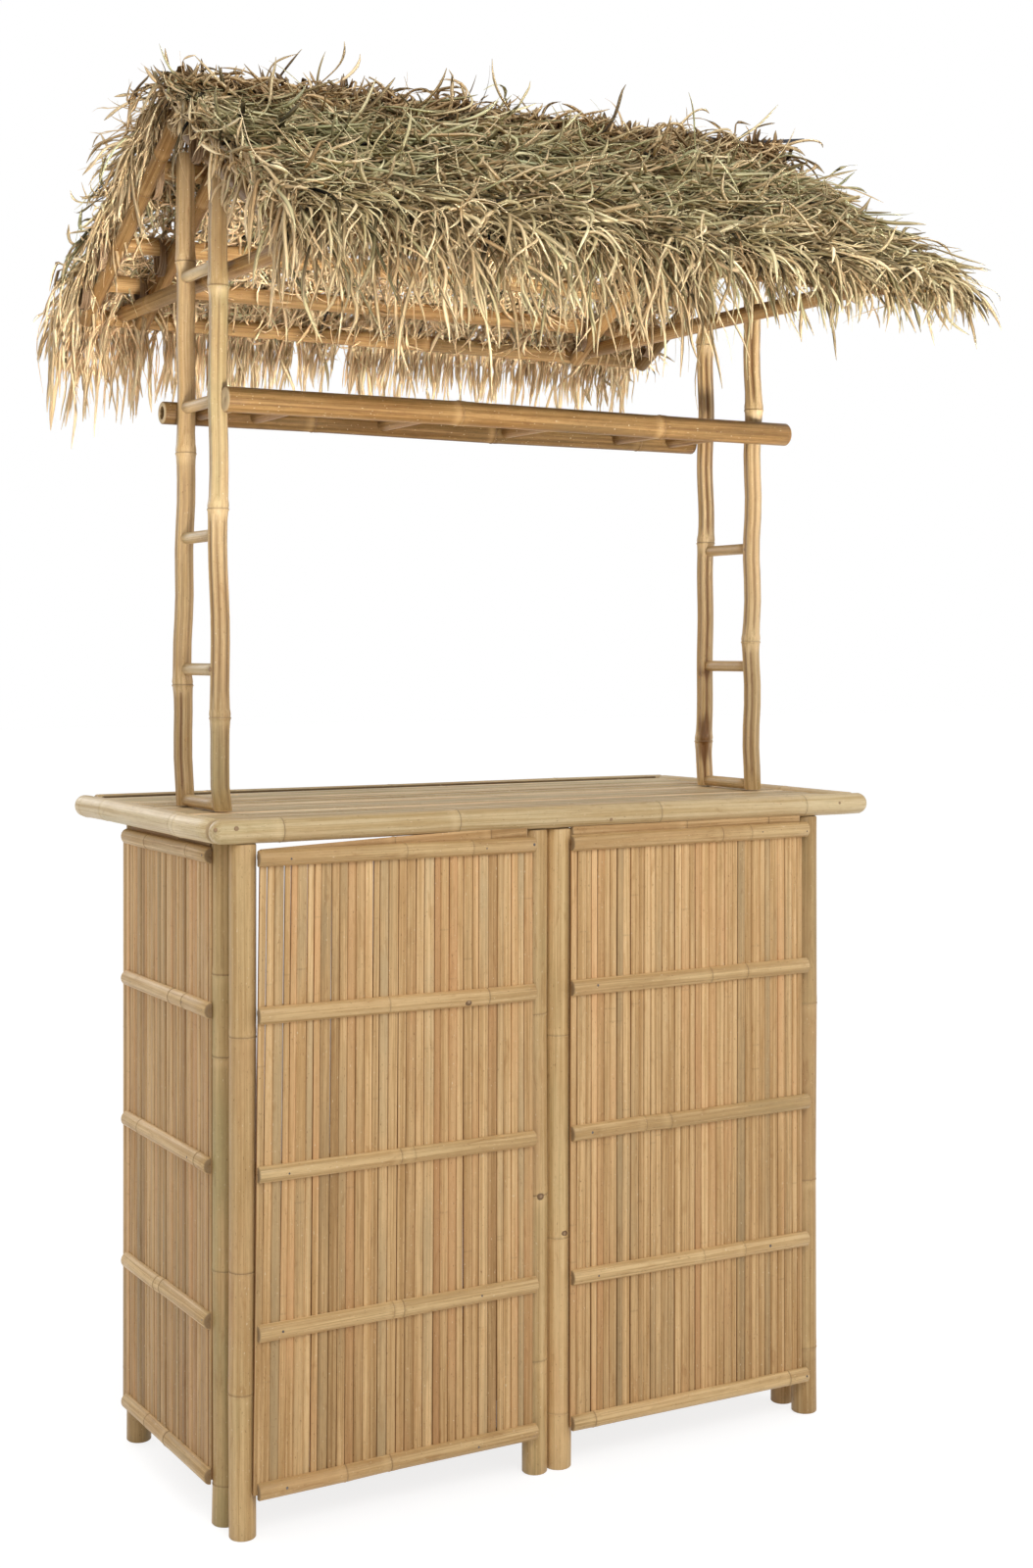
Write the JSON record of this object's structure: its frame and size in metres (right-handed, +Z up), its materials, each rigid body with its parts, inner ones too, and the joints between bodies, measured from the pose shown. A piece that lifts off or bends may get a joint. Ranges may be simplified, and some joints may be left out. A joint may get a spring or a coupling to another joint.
{
  "type": "tiki bar hut",
  "caption": "Free-standing bamboo bar hut with slatted base panels, a round-rimmed counter, ladder uprights, an upper rack and a gabled thatched roof.",
  "frame": {"origin": "on the floor, under the middle of the whole hut's bounding box", "axes": "+X to the right along the counter's front as a customer sees it, +Y from the front to the server's side, +Z up"},
  "size_m": [1.2664, 1.141, 2.2032],
  "materials": {
    "pole_bamboo": "satin natural bamboo",
    "slat_bamboo": "matt split bamboo",
    "batten_bamboo": "satin split bamboo",
    "rim_bamboo": "satin natural bamboo",
    "strip_bamboo": "matt flattened bamboo",
    "post_bamboo": "satin natural bamboo",
    "frame_bamboo": "matt dark bamboo",
    "thatch_straw": "dry grass thatch",
    "ridge_straw": "dry brown thatch",
    "ridge_metal": "dark rod"
  },
  "bodies": {
    "root": {"front_left_left_pole": "pole_bamboo", "front_left_right_pole": "pole_bamboo", "front_left_slats": "slat_bamboo", "front_left_batten_1": "batten_bamboo", "front_left_batten_2": "batten_bamboo", "front_left_batten_3": "batten_bamboo", "front_left_batten_4": "batten_bamboo", "front_left_batten_5": "batten_bamboo", "front_right_left_pole": "pole_bamboo", "front_right_right_pole": "pole_bamboo", "front_right_slats": "slat_bamboo", "front_right_batten_1": "batten_bamboo", "front_right_batten_2": "batten_bamboo", "front_right_batten_3": "batten_bamboo", "front_right_batten_4": "batten_bamboo", "front_right_batten_5": "batten_bamboo", "left_side_left_pole": "pole_bamboo", "left_side_right_pole": "pole_bamboo", "left_side_slats": "slat_bamboo", "right_side_left_pole": "pole_bamboo", "right_side_right_pole": "pole_bamboo", "right_side_slats": "slat_bamboo", "counter_front_rim": "rim_bamboo", "counter_left_rim": "rim_bamboo", "counter_rear_rim": "rim_bamboo", "counter_right_rim": "rim_bamboo", "counter_top": "strip_bamboo", "counter_bearer_left": "frame_bamboo", "counter_bearer_middle": "frame_bamboo", "counter_bearer_right": "frame_bamboo", "left_ladder_front_post": "post_bamboo", "left_ladder_rear_post": "post_bamboo", "right_ladder_front_post": "post_bamboo", "right_ladder_rear_post": "post_bamboo", "rack_front_pole": "post_bamboo", "rack_rear_pole": "frame_bamboo", "front_purlin_1": "frame_bamboo", "front_purlin_2": "frame_bamboo", "front_purlin_3": "frame_bamboo", "front_purlin_4": "frame_bamboo", "front_rafter_1": "frame_bamboo", "front_rafter_2": "frame_bamboo", "front_rafter_3": "frame_bamboo", "front_rafter_4": "frame_bamboo", "front_thatch": "thatch_straw", "rear_purlin_1": "frame_bamboo", "rear_purlin_2": "frame_bamboo", "rear_purlin_3": "frame_bamboo", "rear_purlin_4": "frame_bamboo", "rear_rafter_1": "frame_bamboo", "rear_rafter_2": "frame_bamboo", "rear_rafter_3": "frame_bamboo", "rear_rafter_4": "frame_bamboo", "rear_thatch": "thatch_straw", "ridge_thatch": "ridge_straw", "ridge_rod": "ridge_metal", "left_tie_beam": "frame_bamboo", "right_tie_beam": "frame_bamboo", "storage_shelf": "strip_bamboo"}
  },
  "joints": []
}
